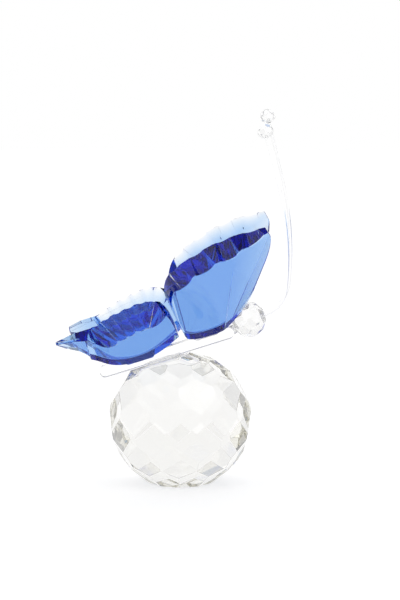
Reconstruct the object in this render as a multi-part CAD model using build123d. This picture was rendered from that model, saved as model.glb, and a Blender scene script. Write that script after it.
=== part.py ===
from build123d import *
import math
import os

# Butterfly ornament of cut glass, standing on a faceted glass ball.
# Millimetres, +Z up. The origin is the centre of the ball's flat base, +X runs to the head
# and -Y is the butterfly's right side. The wings and their adhesive mirror in the XZ plane, but
# the left hindwing's tail is a little shorter and the left antenna a little longer.

# Ball base
ball_diameter = 40.0
ball_facet_depth = 1.1
ball_centre_height = 17.4
seat_tilt = 17.7
seat_distance = 17.3

# Body rod, a flat-sided bar with round ends laid on the ball's seat
rod_height = 3.3
rod_width = 3.7
rod_length = 39.1
rod_forward = 2.17
seat_bond = 0.25

# Wings, which rise from a line a little above the rod's middle
wing_lift = 0.6
wing_gap = 0.25

# Forewings, set back from the rod's front end
forewing_thickness = 3.7
forewing_lean = 45.0
forewing_setback = 14.17
forewing_length = 32.2
forewing_height = 33.8
forewing_root = 2.5
forewing_flute_radius = 7.25
forewing_flute_depth = 0.5
forewing_glue_share = 0.2065
forewing_glue_length = 8.0
forewing_glue_width = 2.6

# Hindwings, ending just behind the forewings
hindwing_thickness = 3.7
hindwing_lean = 47.0
hindwing_offset = 0.6
hindwing_length = 32.2
hindwing_height = 20.9
hindwing_root = 1.9
hindwing_flute_radius = 3.2
hindwing_flute_depth = 0.45
hindwing_glue_share = 0.6087
hindwing_glue_length = 9.0
hindwing_glue_width = 2.4
left_tail_cut = 1.8

# Head bead, carried on the rod's front end and a little above its line
head_diameter = 9.9
head_facet_depth = 0.35
head_lift = 16.4
head_bond = 0.12

# Antennae
antenna_diameter = 0.8
antenna_lean = 14.8
right_antenna_bend_radius = 8.4
left_antenna_bend_radius = 10.0
right_antenna_straight = 16.4
left_antenna_straight = 17.7
antenna_bead_diameter = 4.2
antenna_bead_facet_depth = 0.18

# Shared clearances
glue_clearance = 0.03
socket_clearance = 0.05

ball_radius = ball_diameter / 2
rod_radius = rod_height / 2
head_radius = head_diameter / 2
antenna_radius = antenna_diameter / 2
antenna_bead_radius = antenna_bead_diameter / 2

# The rod's frame: along runs up the seat's slope to the head, above stands square to the seat
tilt = math.radians(seat_tilt)
along = Vector(math.cos(tilt), 0, math.sin(tilt))
above = Vector(-math.sin(tilt), 0, math.cos(tilt))
ball_centre = Vector(0, 0, ball_centre_height)
seat_centre = ball_centre + above * seat_distance
rod_centre = seat_centre + along * rod_forward + above * (seat_bond + rod_radius)
wing_origin = rod_centre + above * wing_lift


# Faceted balls
# Each row of facets is its latitude in degrees, the facets round it, and its turn in facet widths.
ball_rows_and_turn_shares = [
    (10.3, 10, 0.5),
    (-10.3, 10, 0.0),
    (31.0, 10, 0.0),
    (-31.0, 10, 0.5),
    (51.6, 10, 0.5),
    (-51.6, 10, 0.0),
    (72.2, 10, 0.0),
]
head_rows_and_turn_shares = [
    (20.0, 8, 0.0),
    (-20.0, 8, 0.5),
    (55.0, 8, 0.5),
    (-55.0, 8, 0.0),
    (90.0, 1, 0.0),
    (-90.0, 1, 0.0),
]
antenna_bead_rows_and_turn_shares = [
    (22.0, 6, 0.0),
    (-22.0, 6, 0.5),
    (60.0, 6, 0.5),
    (-60.0, 6, 0.0),
    (90.0, 1, 0.0),
    (-90.0, 1, 0.0),
]


def keep_below(solid, origin, normal):
    """Grinds the solid flat: what lies beyond the plane is cut away."""
    return split(solid, bisect_by=Plane(origin=origin, z_dir=normal), keep=Keep.BOTTOM)


def faceted_ball(radius, facet_depth, rows):
    """A ball ground into rows of flat facets, its middle at the origin."""
    ball = Box(4 * radius, 4 * radius, 4 * radius)
    for latitude, count, turn_share in rows:
        for number in range(count):
            longitude = 360 / count * (number + turn_share)
            normal = Vector(1, 0, 0).rotate(Axis.Y, -latitude).rotate(Axis.Z, longitude)
            ball = keep_below(ball, normal * (radius - facet_depth), normal)
    return ball


def make_ball_base():
    """The ball, ground flat below to stand and ground at a slope on top to seat the rod."""
    ball = Pos(*ball_centre) * faceted_ball(ball_radius, ball_facet_depth, ball_rows_and_turn_shares)
    ball = keep_below(ball, Vector(0, 0, 0), Vector(0, 0, -1))
    return keep_below(ball, seat_centre, above)


# Body rod
def make_body_rod(clearance=0):
    """The flat-sided bar with both ends ground round; a clearance makes the hollow that it leaves."""
    outline = SlotOverall(rod_length + 2 * clearance, rod_height + 2 * clearance)
    side = Plane(origin=rod_centre, x_dir=along, z_dir=Vector(0, -1, 0))
    return side * extrude(outline, rod_width / 2 + clearance, both=True)


def make_seat_adhesive():
    """The cured adhesive between the rod and the ball's seat, squeezed up along both sides."""
    pad_length = 11.0
    pad_height = 0.6
    squeezed_out = 0.6
    plane = Plane(origin=seat_centre + along * rod_forward / 2, x_dir=along, z_dir=above)
    pad = extrude(SlotOverall(pad_length, rod_width + 2 * squeezed_out), pad_height)
    pad = plane * Pos(0, 0, glue_clearance) * pad
    return pad - make_body_rod(glue_clearance)


# Wings
# A wing's plane holds the rod's direction as x and climbs away from the rod as y; z is outward.
def right_wing_plane(lean, offset):
    """The middle plane of a right wing, leaning out from upright by lean."""
    angle = math.radians(lean)
    outward = Vector(0, -math.cos(angle), 0) - above * math.sin(angle)
    return Plane(origin=wing_origin + outward * offset, x_dir=along, z_dir=outward)


def wing_points(start, root, length, height, shares):
    """Turns shares of a wing's length and height into points of its plane."""
    return [Vector(start + length * x, root + height * y) for x, y in shares]


def leaning_block(outline, side_angle, top_angle, thickness):
    """A block with leaning walls, its outline set on the slab's inner face and moving as it rises."""
    side_shift = thickness * math.tan(math.radians(side_angle))
    top_shift = thickness * math.tan(math.radians(top_angle))
    shift = Vector(side_shift, -top_shift, thickness)
    return Pos(0, 0, -thickness / 2) * extrude(make_face(outline), shift.length, dir=shift)


def flute_edge(blank, edge, flutes, radius, depth, slope, thickness):
    """Grinds hollow flutes across an edge, side by side and deeper towards the outer face."""
    count, flute_share = flutes
    lean = math.radians(slope)
    for number in range(count):
        place = flute_share * (number + 0.5) / count
        tangent = edge % place
        inward = Vector(-tangent.Y, tangent.X, 0)
        axis = Vector(0, 0, 1) * math.cos(lean) + inward * math.sin(lean)
        middle = edge @ place - inward * (radius / math.cos(lean) - depth)
        reach = 2 * radius + 2 * thickness
        foot = middle - Vector(0, 0, thickness / 2) - axis * reach
        blank -= Plane(origin=foot, z_dir=axis) * extrude(Circle(radius), 2 * reach)
    return blank


def bevel_face(blank, first, last, angle, thickness):
    """Grinds the outer face down on the right of the line from first to last."""
    direction = (last - first).normalized()
    side = Vector(direction.Y, -direction.X, 0)
    slope = math.radians(angle)
    normal = Vector(0, 0, 1) * math.cos(slope) + side * math.sin(slope)
    return keep_below(blank, first + Vector(0, 0, thickness / 2), normal)


forewing_root_shares = [
    (0.010, 0.130),
    (0.090, 0.022),
    (0.215, 0.000),
    (0.325, 0.005),
    (0.460, 0.060),
    (0.550, 0.128),
    (0.645, 0.216),
    (0.755, 0.370),
    (0.862, 0.545),
    (0.960, 0.730),
    (1.000, 0.870),
]
forewing_above_root_shares = [(1.000, 1.300), (-0.300, 1.300), (-0.300, 0.550), (-0.050, 0.210)]
forewing_fluted_shares = [
    (0.980, 0.985),
    (0.765, 1.000),
    (0.565, 0.985),
    (0.385, 0.933),
    (0.220, 0.865),
    (0.100, 0.790),
    (0.030, 0.680),
    (0.000, 0.545),
]
forewing_below_rim_shares = [(0.010, 0.130), (0.010, -0.200), (1.000, -0.200), (1.000, 0.870)]
forewing_ridge_shares = [(0.710, 0.965), (0.410, 0.125)]


def forewing_sizes():
    """Where the forewing's outline starts, its root's distance from the wings' line, and its size."""
    start = rod_length / 2 - forewing_setback
    return start, forewing_root, forewing_length, forewing_height


def wing_blank(sizes, thickness, root, above_root, rim, below_rim, rear_slope_angle, rim_slope_angle):
    """The slab before it is fluted: the rim leans in over the outer face, the root over the inner one."""
    root_slope_angle = 10.7
    root_line = Spline(wing_points(*sizes, root))
    rim_line = Spline(wing_points(*sizes, rim))
    above_line = Polyline([root_line @ 1] + wing_points(*sizes, above_root) + [root_line @ 0])
    below_line = Polyline([rim_line @ 1] + wing_points(*sizes, below_rim) + [rim_line @ 0])
    rim_block = leaning_block([rim_line, below_line], rear_slope_angle, rim_slope_angle, thickness)
    root_block = leaning_block([root_line, above_line], 0, root_slope_angle, thickness)
    root_rise = thickness * math.tan(math.radians(root_slope_angle))
    return rim_block & Pos(0, root_rise, 0) * root_block, rim_line


def make_right_forewing():
    """A slab of blue glass with a fluted rim and a long bevel along its leading edge."""
    rear_slope_angle = 14.0
    rim_slope_angle = 33.5
    flutes_and_rim_share = (4, 0.82)
    flute_slope_angle = 46.5
    leading_bevel_angle = 15.0
    sizes = forewing_sizes()
    root = (forewing_root_shares, forewing_above_root_shares)
    rim = (forewing_fluted_shares, forewing_below_rim_shares)
    slopes = (rear_slope_angle, rim_slope_angle)
    blank, rim_line = wing_blank(sizes, forewing_thickness, *root, *rim, *slopes)
    flute = (forewing_flute_radius, forewing_flute_depth, flute_slope_angle)
    blank = flute_edge(blank, rim_line, flutes_and_rim_share, *flute, forewing_thickness)
    ridge_top, ridge_foot = wing_points(*sizes, forewing_ridge_shares)
    blank = bevel_face(blank, ridge_foot, ridge_top, leading_bevel_angle, forewing_thickness)
    return right_wing_plane(forewing_lean, 0) * blank


hindwing_root_shares = [
    (0.232, 0.365),
    (0.280, 0.285),
    (0.340, 0.165),
    (0.380, 0.105),
    (0.485, 0.025),
    (0.555, 0.002),
    (0.650, 0.000),
    (0.775, 0.055),
    (0.890, 0.150),
    (0.985, 0.250),
]
hindwing_above_root_shares = [(1.100, 0.300), (1.100, 1.300), (-0.200, 1.300), (-0.200, 0.365)]
hindwing_fluted_shares = [
    (0.955, 0.900),
    (0.870, 0.985),
    (0.755, 1.000),
    (0.620, 0.960),
    (0.535, 0.930),
    (0.430, 0.865),
    (0.330, 0.800),
]
hindwing_tail_shares = [
    (0.260, 0.800),
    (0.168, 0.800),
    (0.092, 0.770),
    (0.008, 0.738),
    (0.000, 0.728),
    (0.008, 0.716),
    (0.056, 0.655),
    (0.112, 0.610),
    (0.172, 0.565),
    (0.208, 0.500),
    (0.232, 0.440),
]
hindwing_below_rim_shares = [(0.232, -0.300), (1.000, -0.300), (1.000, 0.370), (0.990, 0.720)]
hindwing_tail_bevel_shares = [(0.260, 0.800), (0.232, 0.365)]


def hindwing_sizes():
    """Where the hindwing's outline starts, its root's distance from the wings' line, and its size."""
    start = rod_length / 2 - forewing_setback - wing_gap - hindwing_length
    return start, hindwing_root, hindwing_length, hindwing_height


def make_right_hindwing():
    """A slab of blue glass thinned to its rim by long shallow flutes, with a thin pointed tail."""
    flutes_and_rim_share = (6, 1.0)
    flute_slope_angle = 62.0
    tail_bevel_angle = 18.0
    sizes = hindwing_sizes()
    root = (hindwing_root_shares, hindwing_above_root_shares)
    rim = (hindwing_fluted_shares, hindwing_tail_shares + hindwing_below_rim_shares)
    blank, rim_line = wing_blank(sizes, hindwing_thickness, *root, *rim, 0, 0)
    flute = (hindwing_flute_radius, hindwing_flute_depth, flute_slope_angle)
    blank = flute_edge(blank, rim_line, flutes_and_rim_share, *flute, hindwing_thickness)
    tail_start, tail_foot = wing_points(*sizes, hindwing_tail_bevel_shares)
    blank = bevel_face(blank, tail_start, tail_foot, tail_bevel_angle, hindwing_thickness)
    return right_wing_plane(hindwing_lean, hindwing_offset) * blank


def make_left_hindwing():
    """The right hindwing's mirror image, with its tail ground off a little shorter."""
    wing = mirror(right_hindwing, about=Plane.XZ)
    tail_end = wing_origin + along * (hindwing_sizes()[0] + left_tail_cut)
    return keep_below(wing, tail_end, -along)


def make_wing_adhesive(wing, plane, sizes, glue_share, glue_length, glue_width):
    """Cured adhesive that fills the wedge between the rod and a right wing's root edge."""
    start, root, length, height = sizes
    slot = Rot(90, 0, 0) * SlotOverall(glue_length, glue_width)
    wedge = extrude(slot, root + glue_width / 2, dir=(0, 1, 0))
    wedge = plane * Pos(start + length * glue_share, 0) * wedge
    wedge = keep_below(wedge, Vector(0, -glue_clearance, 0), Vector(0, 1, 0))
    return wedge - make_body_rod(glue_clearance) - Pos(*(plane.y_dir * -glue_clearance)) * wing


# Head bead and antennae
rod_end_centre = rod_centre + along * (rod_length / 2 - rod_radius)
lift = math.radians(head_lift)
head_direction = along * math.cos(lift) + above * math.sin(lift)
head_centre = rod_end_centre + head_direction * (rod_radius + head_bond + head_radius)
right_antenna_sizes = (-1, right_antenna_bend_radius, right_antenna_straight)
left_antenna_sizes = (1, left_antenna_bend_radius, left_antenna_straight)


def antenna_plane(side):
    """The plane that one antenna's line lies in, from the head's middle."""
    root_offset = 1.5
    angle = math.radians(antenna_lean)
    rise = Vector(0, side * math.sin(angle), math.cos(angle))
    origin = head_centre + Vector(0, side * root_offset, 0)
    return Plane(origin=origin, x_dir=Vector(1, 0, 0), z_dir=Vector(1, 0, 0).cross(rise))


def antenna_line(bend_radius, straight_length):
    """The antenna's middle line: out of the head, up in a bend, then a slow lean back."""
    socket_depth = 2.0
    start_angle = 20.0
    bend_turn = 64.0
    sweep_radius = 87.0
    sweep_turn = 19.3
    start = Vector(1, 0, 0).rotate(Axis.Z, start_angle)
    stub = Line(start * (head_radius - socket_depth), start * head_radius)
    bend = JernArc(stub @ 1, stub % 1, bend_radius, bend_turn)
    sweep_back = JernArc(bend @ 1, bend % 1, sweep_radius, sweep_turn)
    top = Line(sweep_back @ 1, sweep_back @ 1 + (sweep_back % 1) * straight_length)
    return Wire([stub, bend, sweep_back, top])


def make_antenna(side, bend_radius, straight_length):
    """A drawn glass fibre, bent while hot; fine flats stand for its round section."""
    flat_count = 12
    line = antenna_line(bend_radius, straight_length)
    section = Plane(origin=line @ 0, z_dir=line % 0) * RegularPolygon(antenna_radius, flat_count)
    return antenna_plane(side) * sweep(section, path=line)


def antenna_socket(side, bend_radius, straight_length):
    """The drilled hole that an antenna's root is glued into."""
    line = antenna_line(bend_radius, straight_length)
    section = Plane(origin=line @ 0, z_dir=line % 0) * Circle(antenna_radius + socket_clearance)
    return antenna_plane(side) * extrude(section, head_radius)


def make_head_bead():
    """The faceted head bead with a drilled socket for each antenna."""
    plane = Plane(origin=head_centre, x_dir=above, z_dir=along)
    bead = plane * faceted_ball(head_radius, head_facet_depth, head_rows_and_turn_shares)
    for antenna in (right_antenna_sizes, left_antenna_sizes):
        bead -= antenna_socket(*antenna)
    return bead


def make_head_adhesive():
    """The drop of cured adhesive between the rod's round end and the head bead."""
    drop_radius = 1.3
    reach = (head_centre - rod_end_centre).length
    drop = Plane(origin=rod_end_centre, z_dir=head_direction) * extrude(Circle(drop_radius), reach)
    drop -= Pos(*(head_direction * -glue_clearance)) * make_head_bead()
    return drop - make_body_rod(glue_clearance)


def make_antenna_bead(side, bend_radius, straight_length):
    """The small faceted bead on an antenna's tip, with its drilled socket."""
    socket_depth = 1.4
    line = antenna_line(bend_radius, straight_length)
    direction = line % 1
    centre = line @ 1 + direction * (antenna_bead_radius - socket_depth)
    rows = antenna_bead_rows_and_turn_shares
    bead = faceted_ball(antenna_bead_radius, antenna_bead_facet_depth, rows)
    bead = Plane(origin=centre, z_dir=direction) * bead
    mouth = Plane(origin=line @ 1 + direction * socket_clearance, z_dir=-direction)
    bead -= mouth * extrude(Circle(antenna_radius + socket_clearance), antenna_bead_diameter)
    return antenna_plane(side) * bead


def mirrored(solid):
    """The left piece that matches a right piece."""
    return mirror(solid, about=Plane.XZ)


right_forewing = make_right_forewing()
right_hindwing = make_right_hindwing()
right_forewing_adhesive = make_wing_adhesive(
    right_forewing,
    right_wing_plane(forewing_lean, 0),
    forewing_sizes(),
    forewing_glue_share,
    forewing_glue_length,
    forewing_glue_width,
)
right_hindwing_adhesive = make_wing_adhesive(
    right_hindwing,
    right_wing_plane(hindwing_lean, hindwing_offset),
    hindwing_sizes(),
    hindwing_glue_share,
    hindwing_glue_length,
    hindwing_glue_width,
)
pieces = {
    "ball_base": make_ball_base(),
    "body_rod": make_body_rod(),
    "seat_adhesive": make_seat_adhesive(),
    "right_forewing": right_forewing,
    "left_forewing": mirrored(right_forewing),
    "right_hindwing": right_hindwing,
    "left_hindwing": make_left_hindwing(),
    "right_forewing_adhesive": right_forewing_adhesive,
    "left_forewing_adhesive": mirrored(right_forewing_adhesive),
    "right_hindwing_adhesive": right_hindwing_adhesive,
    "left_hindwing_adhesive": mirrored(right_hindwing_adhesive),
    "head_bead": make_head_bead(),
    "head_adhesive": make_head_adhesive(),
    "right_antenna": make_antenna(*right_antenna_sizes),
    "left_antenna": make_antenna(*left_antenna_sizes),
    "right_antenna_bead": make_antenna_bead(*right_antenna_sizes),
    "left_antenna_bead": make_antenna_bead(*left_antenna_sizes),
}

os.makedirs("parts", exist_ok=True)
for name, solid in pieces.items():
    export_step(solid, f"parts/{name}.step")
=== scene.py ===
import math

import bmesh
import bpy
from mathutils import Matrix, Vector


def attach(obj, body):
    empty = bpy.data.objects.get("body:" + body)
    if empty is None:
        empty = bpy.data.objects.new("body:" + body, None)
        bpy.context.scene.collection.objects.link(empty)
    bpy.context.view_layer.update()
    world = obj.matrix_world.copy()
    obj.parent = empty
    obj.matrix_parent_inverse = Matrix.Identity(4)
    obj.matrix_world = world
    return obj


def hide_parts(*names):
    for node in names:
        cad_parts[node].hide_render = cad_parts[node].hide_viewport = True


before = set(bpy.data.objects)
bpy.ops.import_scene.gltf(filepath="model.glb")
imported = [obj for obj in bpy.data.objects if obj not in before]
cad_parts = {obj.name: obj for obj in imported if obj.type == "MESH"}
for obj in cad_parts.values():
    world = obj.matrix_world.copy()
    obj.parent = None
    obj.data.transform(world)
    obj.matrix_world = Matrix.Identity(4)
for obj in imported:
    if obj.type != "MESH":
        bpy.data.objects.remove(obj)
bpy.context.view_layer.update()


# Camera. The photograph looks at the butterfly's right side from a little above, with a long lens.
# The values were fitted to the photograph. Light needs many bounces to pass through cut glass.
camera_distance = 0.600
camera_azimuth = math.radians(1.4)
camera_elevation = math.radians(7.5)
camera_target = Vector((0.005337, 0.004464, 0.050310))
camera_lens = 129.6
nearest_seen = 0.01
farthest_seen = 10
light_bounces = 48

camera_back = Vector((
    math.sin(camera_azimuth) * math.cos(camera_elevation),
    -math.cos(camera_azimuth) * math.cos(camera_elevation),
    math.sin(camera_elevation),
))
camera = bpy.data.objects.new("camera", bpy.data.cameras.new("camera"))
bpy.context.scene.collection.objects.link(camera)
camera.location = camera_target + camera_back * camera_distance
camera.rotation_mode = "QUATERNION"
camera.rotation_quaternion = (-camera_back).to_track_quat("-Z", "Y")
camera.data.lens = camera_lens
camera.data.clip_start = nearest_seen
camera.data.clip_end = farthest_seen
bpy.context.scene.camera = camera
bpy.context.scene.view_settings.view_transform = "Standard"
bpy.context.scene.cycles.max_bounces = light_bounces
bpy.context.scene.cycles.transmission_bounces = light_bounces
bpy.context.scene.cycles.glossy_bounces = light_bounces


# Floor. A sheet of matt white board, seen pure white, on which the ornament's shadow falls.
# Where the camera sees it, straight or through the glass, it glows a little to read as pure white.
floor_size = 3.0
floor_white = (0.9, 0.9, 0.9, 1)
floor_roughness = 0.9
floor_seen_light = 0.56


def node_material(name):
    """An empty node material with its output and one principled shader, joined."""
    material = bpy.data.materials.new(name)
    material.use_nodes = True
    tree = material.node_tree
    tree.nodes.clear()
    output = tree.nodes.new("ShaderNodeOutputMaterial")
    shader = tree.nodes.new("ShaderNodeBsdfPrincipled")
    tree.links.new(shader.outputs["BSDF"], output.inputs["Surface"])
    return material, tree, shader, output


def put(name, mesh):
    """A new object of that mesh in the scene."""
    piece = bpy.data.objects.new(name, mesh)
    bpy.context.scene.collection.objects.link(piece)
    return piece


half = floor_size / 2
floor_corners = [(-half, -half, 0), (half, -half, 0), (half, half, 0), (-half, half, 0)]
floor_mesh = bpy.data.meshes.new("floor")
floor_mesh.from_pydata(floor_corners, [], [(0, 1, 2, 3)])
floor = put("floor", floor_mesh)
floor_material, tree, shader, _ = node_material("white board")
shader.inputs["Base Color"].default_value = floor_white
shader.inputs["Roughness"].default_value = floor_roughness
shader.inputs["Specular IOR Level"].default_value = 0.0
shader.inputs["Emission Color"].default_value = (1, 1, 1, 1)
path = tree.nodes.new("ShaderNodeLightPath")
seen = tree.nodes.new("ShaderNodeMath")
seen.operation = "MAXIMUM"
tree.links.new(path.outputs["Is Camera Ray"], seen.inputs[0])
tree.links.new(path.outputs["Is Glossy Ray"], seen.inputs[1])
through = tree.nodes.new("ShaderNodeMath")
through.operation = "MAXIMUM"
tree.links.new(seen.outputs["Value"], through.inputs[0])
tree.links.new(path.outputs["Is Transmission Ray"], through.inputs[1])
lift = tree.nodes.new("ShaderNodeMath")
lift.operation = "MULTIPLY"
lift.inputs[1].default_value = floor_seen_light
tree.links.new(through.outputs["Value"], lift.inputs[0])
tree.links.new(lift.outputs["Value"], shader.inputs["Emission Strength"])
floor_mesh.materials.append(floor_material)


# Light. A room that is white behind the ornament and greyer at its sides, overhead and behind the
# camera. The grey parts are what cut edges and steep facets show. A small soft box stands at each
# side of the camera.
wall_white = (1.0, 1.0, 1.0, 1)
side_grey = (0.42, 0.42, 0.43, 1)
camera_side_grey = (0.30, 0.30, 0.31, 1)
side_white_start = 0.79
side_grey_start = 0.62
side_grey_end = 0.50
camera_side_start = 0.35

world = bpy.data.worlds.new("studio")
bpy.context.scene.world = world
world.use_nodes = True
sky = world.node_tree
sky.nodes.clear()
sky_output = sky.nodes.new("ShaderNodeOutputWorld")
sky_background = sky.nodes.new("ShaderNodeBackground")
sky_coordinates = sky.nodes.new("ShaderNodeTexCoord")
sky_split = sky.nodes.new("ShaderNodeSeparateXYZ")
sky_range = sky.nodes.new("ShaderNodeMapRange")
sky_range.inputs["From Min"].default_value = -1
sky_range.inputs["From Max"].default_value = 1
sky_ramp = sky.nodes.new("ShaderNodeValToRGB")
sky.links.new(sky_coordinates.outputs["Generated"], sky_split.inputs["Vector"])
sky.links.new(sky_split.outputs["Y"], sky_range.inputs["Value"])
sky.links.new(sky_range.outputs["Result"], sky_ramp.inputs["Fac"])
sky.links.new(sky_ramp.outputs["Color"], sky_background.inputs["Color"])
sky.links.new(sky_background.outputs["Background"], sky_output.inputs["Surface"])
ramp = sky_ramp.color_ramp
ramp.elements[0].position = camera_side_start
ramp.elements[0].color = camera_side_grey
ramp.elements[1].position = side_white_start
ramp.elements[1].color = wall_white
ramp.elements.new(side_grey_end).color = side_grey
ramp.elements.new(side_grey_start).color = side_grey

box_distance = 1.3
box_width = 0.42
box_height = 0.75
box_power = 1.2
box_directions = {"left": (-0.72, -0.58, 0.40), "right": (0.66, -0.52, 0.54)}

for side, direction in box_directions.items():
    box = bpy.data.objects.new(side + "_soft_box", bpy.data.lights.new(side + "_soft_box", "AREA"))
    bpy.context.scene.collection.objects.link(box)
    box.data.shape = "RECTANGLE"
    box.data.size = box_width
    box.data.size_y = box_height
    box.data.energy = box_power
    box.location = camera_target + Vector(direction).normalized() * box_distance
    box.rotation_mode = "QUATERNION"
    box.rotation_quaternion = (-Vector(direction)).to_track_quat("-Z", "Y")


# Ball base. A ball of clear lead crystal, ground into rows of flat facets on a lap and polished.
# It stands on a ground flat, and a sloping flat on its crown seats the rod.
ball_centre = (0, 0, 0.0174)
facet_distance = 0.0189
base_distance = 0.017399
seat_distance = 0.0173
seat_slope = math.radians(17.7)
facet_edge = 0.00010
facet_sharp_angle = 10
corner_weld = 0.000005
loose_weld = 0.000002
flat_within = math.radians(0.5)
crystal_index = 1.545
crystal_absorbed = (0.86, 0.85, 0.80, 1)
crystal_density = 12.0
smear_detail = 4
smear_distortion = 1.5
smear_start = 0.55
smear_end = 0.80
smear_dullness = 0.035
ball_rows = [
    (10.3, 10, 0.5),
    (-10.3, 10, 0.0),
    (31.0, 10, 0.0),
    (-31.0, 10, 0.5),
    (51.6, 10, 0.5),
    (-51.6, 10, 0.0),
    (72.2, 10, 0.0),
]
ball_flats = [
    ("Base", (0, 0, -1), base_distance),
    ("Seat", (-math.sin(seat_slope), 0, math.cos(seat_slope)), seat_distance),
]


def facet_tree(name, rows, flats):
    """Nodes for a ball cut flat in rows. A row is its latitude, its facets and its turn in facets.

    A facet stands in the tree as a point, in the facet's direction and at one over its distance.
    The hull of the points is the cut ball's dual: each hull face becomes a corner of the ball.
    """
    tree = bpy.data.node_groups.new(name, "GeometryNodeTree")
    tree.interface.new_socket("Geometry", in_out="OUTPUT", socket_type="NodeSocketGeometry")
    values = {}

    def named_input(label, kind, value):
        socket = tree.interface.new_socket(label, in_out="INPUT", socket_type="NodeSocket" + kind)
        values[socket.identifier] = value

    named_input("Centre", "Vector", ball_centre)
    named_input("Facet Distance", "Float", facet_distance)
    named_input("Material", "Material", crystal)
    for number, (latitude, count, turn) in enumerate(rows, 1):
        named_input(f"Row {number} Latitude", "Float", math.radians(latitude))
        named_input(f"Row {number} Facets", "Int", count)
        named_input(f"Row {number} Turn", "Float", turn * 2 * math.pi / count)
    for label, direction, distance in flats:
        named_input(label + " Direction", "Vector", direction)
        named_input(label + " Distance", "Float", distance)
    given = tree.nodes.new("NodeGroupInput").outputs

    def node(kind, operation=None, **links):
        made = tree.nodes.new(kind)
        if operation:
            made.operation = operation
        for label, value in links.items():
            by_place = label[1:].isdigit()
            socket = made.inputs[int(label[1:]) if by_place else label.replace("_", " ")]
            if isinstance(value, bpy.types.NodeSocket):
                tree.links.new(value, socket)
            else:
                socket.default_value = value
        return made

    def number_of(operation, *terms):
        links = {f"i{slot}": term for slot, term in enumerate(terms)}
        return node("ShaderNodeMath", operation, **links).outputs["Value"]

    points = node("GeometryNodeJoinGeometry")
    for number in range(1, len(rows) + 1):
        latitude = given[f"Row {number} Latitude"]
        radius = number_of("DIVIDE", number_of("COSINE", latitude), given["Facet Distance"])
        height = number_of("DIVIDE", number_of("SINE", latitude), given["Facet Distance"])
        ring = node("GeometryNodeMeshCircle", Vertices=given[f"Row {number} Facets"], Radius=radius)
        placed = node(
            "GeometryNodeTransform", Geometry=ring.outputs["Mesh"],
            Translation=node("ShaderNodeCombineXYZ", Z=height).outputs["Vector"],
            Rotation=node("ShaderNodeCombineXYZ", Z=given[f"Row {number} Turn"]).outputs["Vector"],
        )
        tree.links.new(placed.outputs["Geometry"], points.inputs["Geometry"])
    for label, _, _ in flats:
        shrink = number_of("DIVIDE", 1.0, given[label + " Distance"])
        place = node("ShaderNodeVectorMath", "SCALE", i0=given[label + " Direction"], Scale=shrink)
        point = node("GeometryNodeMeshLine", Count=1, Start_Location=place.outputs["Vector"])
        tree.links.new(point.outputs["Mesh"], points.inputs["Geometry"])
    hull = node("GeometryNodeConvexHull", Geometry=points.outputs["Geometry"])
    normal = node("GeometryNodeInputNormal").outputs["Normal"]
    position = node("GeometryNodeInputPosition").outputs["Position"]
    away = node("ShaderNodeVectorMath", "DOT_PRODUCT", i0=normal, i1=position).outputs["Value"]
    corner = node("ShaderNodeVectorMath", "SCALE", i0=normal, Scale=number_of("DIVIDE", 1.0, away))
    kept = node("GeometryNodeCaptureAttribute", Geometry=hull.outputs["Convex Hull"])
    kept.domain = "FACE"
    kept.capture_items.new("VECTOR", "Corner")
    tree.links.new(corner.outputs["Vector"], kept.inputs["Corner"])
    dual = node("GeometryNodeDualMesh", Mesh=kept.outputs["Geometry"])
    moved = node(
        "GeometryNodeSetPosition", Geometry=dual.outputs["Dual Mesh"],
        Position=kept.outputs["Corner"], Offset=given["Centre"],
    )
    welded = node(
        "GeometryNodeMergeByDistance", Geometry=moved.outputs["Geometry"], Distance=corner_weld,
    )
    made = node("GeometryNodeRealizeInstances", Geometry=welded.outputs["Geometry"])
    coated = node(
        "GeometryNodeSetMaterial", Geometry=made.outputs["Geometry"], Material=given["Material"],
    )
    node("NodeGroupOutput", Geometry=coated.outputs["Geometry"])
    return tree, values


def grown_mesh(name, tree, values):
    """The plain mesh that a node tree makes from its inputs."""
    holder = put(name, bpy.data.meshes.new(name))
    growth = holder.modifiers.new(name, "NODES")
    growth.node_group = tree
    for identifier, value in values.items():
        growth[identifier] = value
    seen = holder.evaluated_get(bpy.context.evaluated_depsgraph_get())
    mesh = bpy.data.meshes.new_from_object(seen)
    bpy.data.objects.remove(holder)
    return mesh


def polish(piece, edge, sharp_angle, steps=2):
    """Joins a piece's loose triangles into flat faces and softly rounds its sharp edges."""
    shape = bmesh.new()
    shape.from_mesh(piece.data)
    bmesh.ops.remove_doubles(shape, verts=shape.verts, dist=loose_weld)
    bmesh.ops.dissolve_limit(
        shape, angle_limit=flat_within, use_dissolve_boundaries=False,
        verts=shape.verts, edges=shape.edges,
    )
    bmesh.ops.recalc_face_normals(shape, faces=shape.faces)
    shape.to_mesh(piece.data)
    shape.free()
    piece.data.shade_smooth()
    piece.data.set_sharp_from_angle(angle=math.radians(sharp_angle))
    rounding = piece.modifiers.new("rounded edges", "BEVEL")
    rounding.width = edge
    rounding.segments = steps
    rounding.limit_method = "ANGLE"
    rounding.angle_limit = math.radians(sharp_angle)
    rounding.use_clamp_overlap = False
    piece.data.materials.clear()
    return piece


def polished_copy(name, node, edge, sharp_angle, steps=2):
    """A polished copy of a node's mesh."""
    return polish(put(name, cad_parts[node].data.copy()), edge, sharp_angle, steps)


def finish_piece(piece, material, node):
    """Gives a piece its material, and lets it stand for its node."""
    piece.data.materials.append(material)
    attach(piece, "root")
    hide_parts(node)


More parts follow.
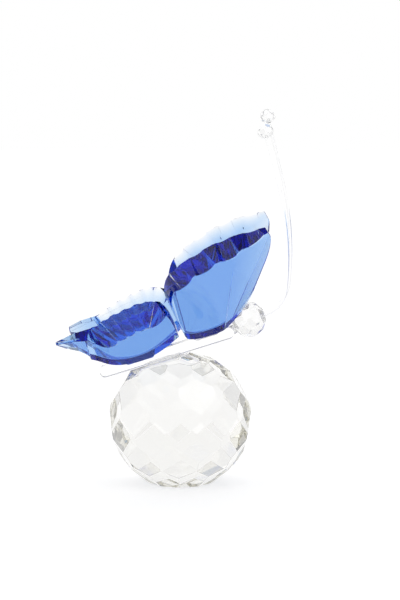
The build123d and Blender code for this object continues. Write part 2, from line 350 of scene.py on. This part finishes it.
def glass(name, index, absorbed, density, smear_scale, ripple_scale, ripple_depth, dullness=0.0):
    """Polished glass: it takes up light with depth, fine smears dull it, slow ripples bend it."""
    material, tree, shader, output = node_material(name)
    shader.inputs["Base Color"].default_value = (1, 1, 1, 1)
    shader.inputs["IOR"].default_value = index
    shader.inputs["Transmission Weight"].default_value = 1.0
    body = tree.nodes.new("ShaderNodeVolumeAbsorption")
    body.inputs["Color"].default_value = absorbed
    body.inputs["Density"].default_value = density
    tree.links.new(body.outputs["Volume"], output.inputs["Volume"])
    place = tree.nodes.new("ShaderNodeTexCoord")
    smears = tree.nodes.new("ShaderNodeTexNoise")
    smears.inputs["Scale"].default_value = smear_scale
    smears.inputs["Detail"].default_value = smear_detail
    smears.inputs["Distortion"].default_value = smear_distortion
    tree.links.new(place.outputs["Object"], smears.inputs["Vector"])
    dull = tree.nodes.new("ShaderNodeMapRange")
    dull.inputs["From Min"].default_value = smear_start
    dull.inputs["From Max"].default_value = smear_end
    dull.inputs["To Min"].default_value = dullness
    dull.inputs["To Max"].default_value = dullness + smear_dullness
    tree.links.new(smears.outputs["Fac"], dull.inputs["Value"])
    tree.links.new(dull.outputs["Result"], shader.inputs["Roughness"])
    ripples = tree.nodes.new("ShaderNodeTexNoise")
    ripples.inputs["Scale"].default_value = ripple_scale
    ripples.inputs["Detail"].default_value = 1
    tree.links.new(place.outputs["Object"], ripples.inputs["Vector"])
    bump = tree.nodes.new("ShaderNodeBump")
    bump.inputs["Strength"].default_value = 1.0
    bump.inputs["Distance"].default_value = ripple_depth
    tree.links.new(ripples.outputs["Fac"], bump.inputs["Height"])
    tree.links.new(bump.outputs["Normal"], shader.inputs["Normal"])
    return material


crystal = glass(
    "clear crystal", crystal_index, crystal_absorbed, crystal_density,
    smear_scale=90, ripple_scale=140, ripple_depth=0.000004,
)
ball_mesh = grown_mesh("cut ball", *facet_tree("facet rows", ball_rows, ball_flats))
ball = put("cut_glass_ball", ball_mesh)
polish(ball, facet_edge, facet_sharp_angle)
finish_piece(ball, crystal, "ball_base")


# Body rod. A flat-sided bar of clear glass, its two ends ground round and flame-polished.
# It lies on the ball's sloping flat.
rod_edge = 0.00025
rod_sharp_angle = 30
rod_index = 1.52
rod_absorbed = (0.78, 0.82, 0.82, 1)
rod_density = 6.0

rod_glass = glass(
    "clear rod glass", rod_index, rod_absorbed, rod_density,
    smear_scale=200, ripple_scale=220, ripple_depth=0.000004,
)
rod = polished_copy("rod_body", "body_rod", rod_edge, rod_sharp_angle)
finish_piece(rod, rod_glass, "body_rod")


# Seat adhesive. Clear cement, cured between the rod's underside and the ball's sloping flat.
# It bonds the two, and its squeezed-out rim is rounded.
cement_edge = 0.00015
cement_sharp_angle = 35
cement_index = 1.49
cement_absorbed = (0.55, 0.56, 0.54, 1)
cement_density = 160

cement = glass(
    "cured clear cement", cement_index, cement_absorbed, cement_density,
    smear_scale=500, ripple_scale=900, ripple_depth=0.00002,
)
seat = polished_copy("seat_cement", "seat_adhesive", cement_edge, cement_sharp_angle)
finish_piece(seat, cement, "seat_adhesive")


# Forewings. Thick slabs of light sapphire-blue glass, saw-cut, with a fluted rim ground at a slope,
# and a long bevel down the leading edge, all polished.
wing_edge = 0.00012
wing_sharp_angle = 8
wing_index = 1.52
forewing_land = 0.00020
shortest_ridge = 0.0020
largest_sliver = 0.0000000020
least_ridge_angle = math.radians(14)
slab_face_share = 0.9
cut_weld = 0.0000005
wing_absorbed = (0.0, 0.457, 0.901, 1)
wing_density = 218

blue = glass(
    "sapphire blue glass", wing_index, wing_absorbed, wing_density,
    smear_scale=110, ripple_scale=160, ripple_depth=0.000005,
)


def is_ridge(edge, flat):
    """Whether an edge is an outward corner between two of a slab's walls."""
    return (
        edge.is_manifold and edge.calc_face_angle_signed(0) > least_ridge_angle
        and all(abs(face.normal.dot(flat)) < slab_face_share for face in edge.link_faces)
    )


def ridge_lines(shape, flat):
    """Each ridge's middle, its length and the direction that it points in."""
    lines = []
    seen = set()
    for edge in shape.edges:
        if edge in seen or not is_ridge(edge, flat):
            continue
        line = [edge]
        seen.add(edge)
        for part in line:
            for vert in part.verts:
                fresh = [other for other in vert.link_edges if other not in seen]
                joined = [other for other in fresh if is_ridge(other, flat)]
                seen.update(joined)
                line.extend(joined)
        out = Vector()
        for part in line:
            out += (part.link_faces[0].normal + part.link_faces[1].normal) * part.calc_length()
        ends = [vert.co.copy() for part in line for vert in part.verts]
        length = max((first - last).length for first in ends for last in ends)
        lines.append((sum(ends, Vector()) / len(ends), length, out.normalized()))
    return lines


def cut_lands(piece, depth):
    """Grinds a narrow flat on each ridge between two flutes, where that takes off only a sliver."""
    shape = bmesh.new()
    shape.from_mesh(piece.data)
    flat = max(shape.faces, key=lambda face: face.calc_area()).normal.copy()
    for middle, length, out in ridge_lines(shape, flat):
        if length < shortest_ridge:
            continue
        trial = shape.copy()
        whole = trial.verts[:] + trial.edges[:] + trial.faces[:]
        cut = bmesh.ops.bisect_plane(
            trial, geom=whole, dist=cut_weld,
            plane_co=middle - out * depth, plane_no=out, clear_outer=True,
        )
        rim = [part for part in cut["geom_cut"] if isinstance(part, bmesh.types.BMEdge)]
        bmesh.ops.edgeloop_fill(trial, edges=rim)
        bmesh.ops.recalc_face_normals(trial, faces=trial.faces)
        lost = shape.calc_volume() - trial.calc_volume()
        if all(edge.is_manifold for edge in trial.edges) and 0 < lost < largest_sliver:
            shape, trial = trial, shape
        trial.free()
    shape.to_mesh(piece.data)
    shape.free()
    piece.data.shade_smooth()
    piece.data.set_sharp_from_angle(angle=math.radians(wing_sharp_angle))


def dress_wings(wing, land):
    """Both wings of that name in blue glass, with a narrow flat on each ridge."""
    for side in ("right", "left"):
        node = side + "_" + wing
        piece = polished_copy(node + "_glass", node, wing_edge, wing_sharp_angle, 1)
        cut_lands(piece, land)
        finish_piece(piece, blue, node)


dress_wings("forewing", forewing_land)


# Hindwings. Slabs of the same blue glass, thinned to the rim by long shallow flutes and ground
# to a pointed tail, all polished.
hindwing_land = 0.00015

dress_wings("hindwing", hindwing_land)


# Wing adhesive. A drop of the same clear cement under each wing's root edge, cured where it ran
# in between the wing and the rod. It bonds the wing to the rod.
for side in ("right", "left"):
    for wing in ("forewing", "hindwing"):
        root = side + "_" + wing
        drop = polished_copy(root + "_cement", root + "_adhesive", cement_edge, cement_sharp_angle)
        finish_piece(drop, cement, root + "_adhesive")


# Head bead. A bead of the ball's crystal cut into flat facets, drilled for the antennae
# and stuck to the rod's end with a drop of cement.
bead_edge = 0.00005
bead_sharp_angle = 12

bead_glass = glass(
    "clear bead glass", crystal_index, crystal_absorbed, crystal_density,
    smear_scale=300, ripple_scale=500, ripple_depth=0.000004, dullness=0.09,
)
head = polished_copy("head_cut_bead", "head_bead", bead_edge, bead_sharp_angle)
finish_piece(head, bead_glass, "head_bead")
neck = polished_copy("neck_cement", "head_adhesive", cement_edge, cement_sharp_angle)
finish_piece(neck, cement, "head_adhesive")


# Antennae. Fine clear glass fibres, bent in a flame and cemented into the head bead's two holes.
# Each carries a small cut bead on its tip.
fibre_edge = 0.00002
fibre_sharp_angle = 60
fibre_index = 1.46
fibre_density = 2.0

fibre = glass(
    "drawn glass fibre", fibre_index, rod_absorbed, fibre_density,
    smear_scale=900, ripple_scale=900, ripple_depth=0.000002,
)
for side in ("right", "left"):
    antenna = polished_copy(side + "_antenna_fibre", side + "_antenna", fibre_edge, fibre_sharp_angle)
    finish_piece(antenna, fibre, side + "_antenna")
    tip = side + "_antenna_bead"
    bead = polished_copy(side + "_antenna_cut_bead", tip, bead_edge, bead_sharp_angle)
    finish_piece(bead, bead_glass, tip)
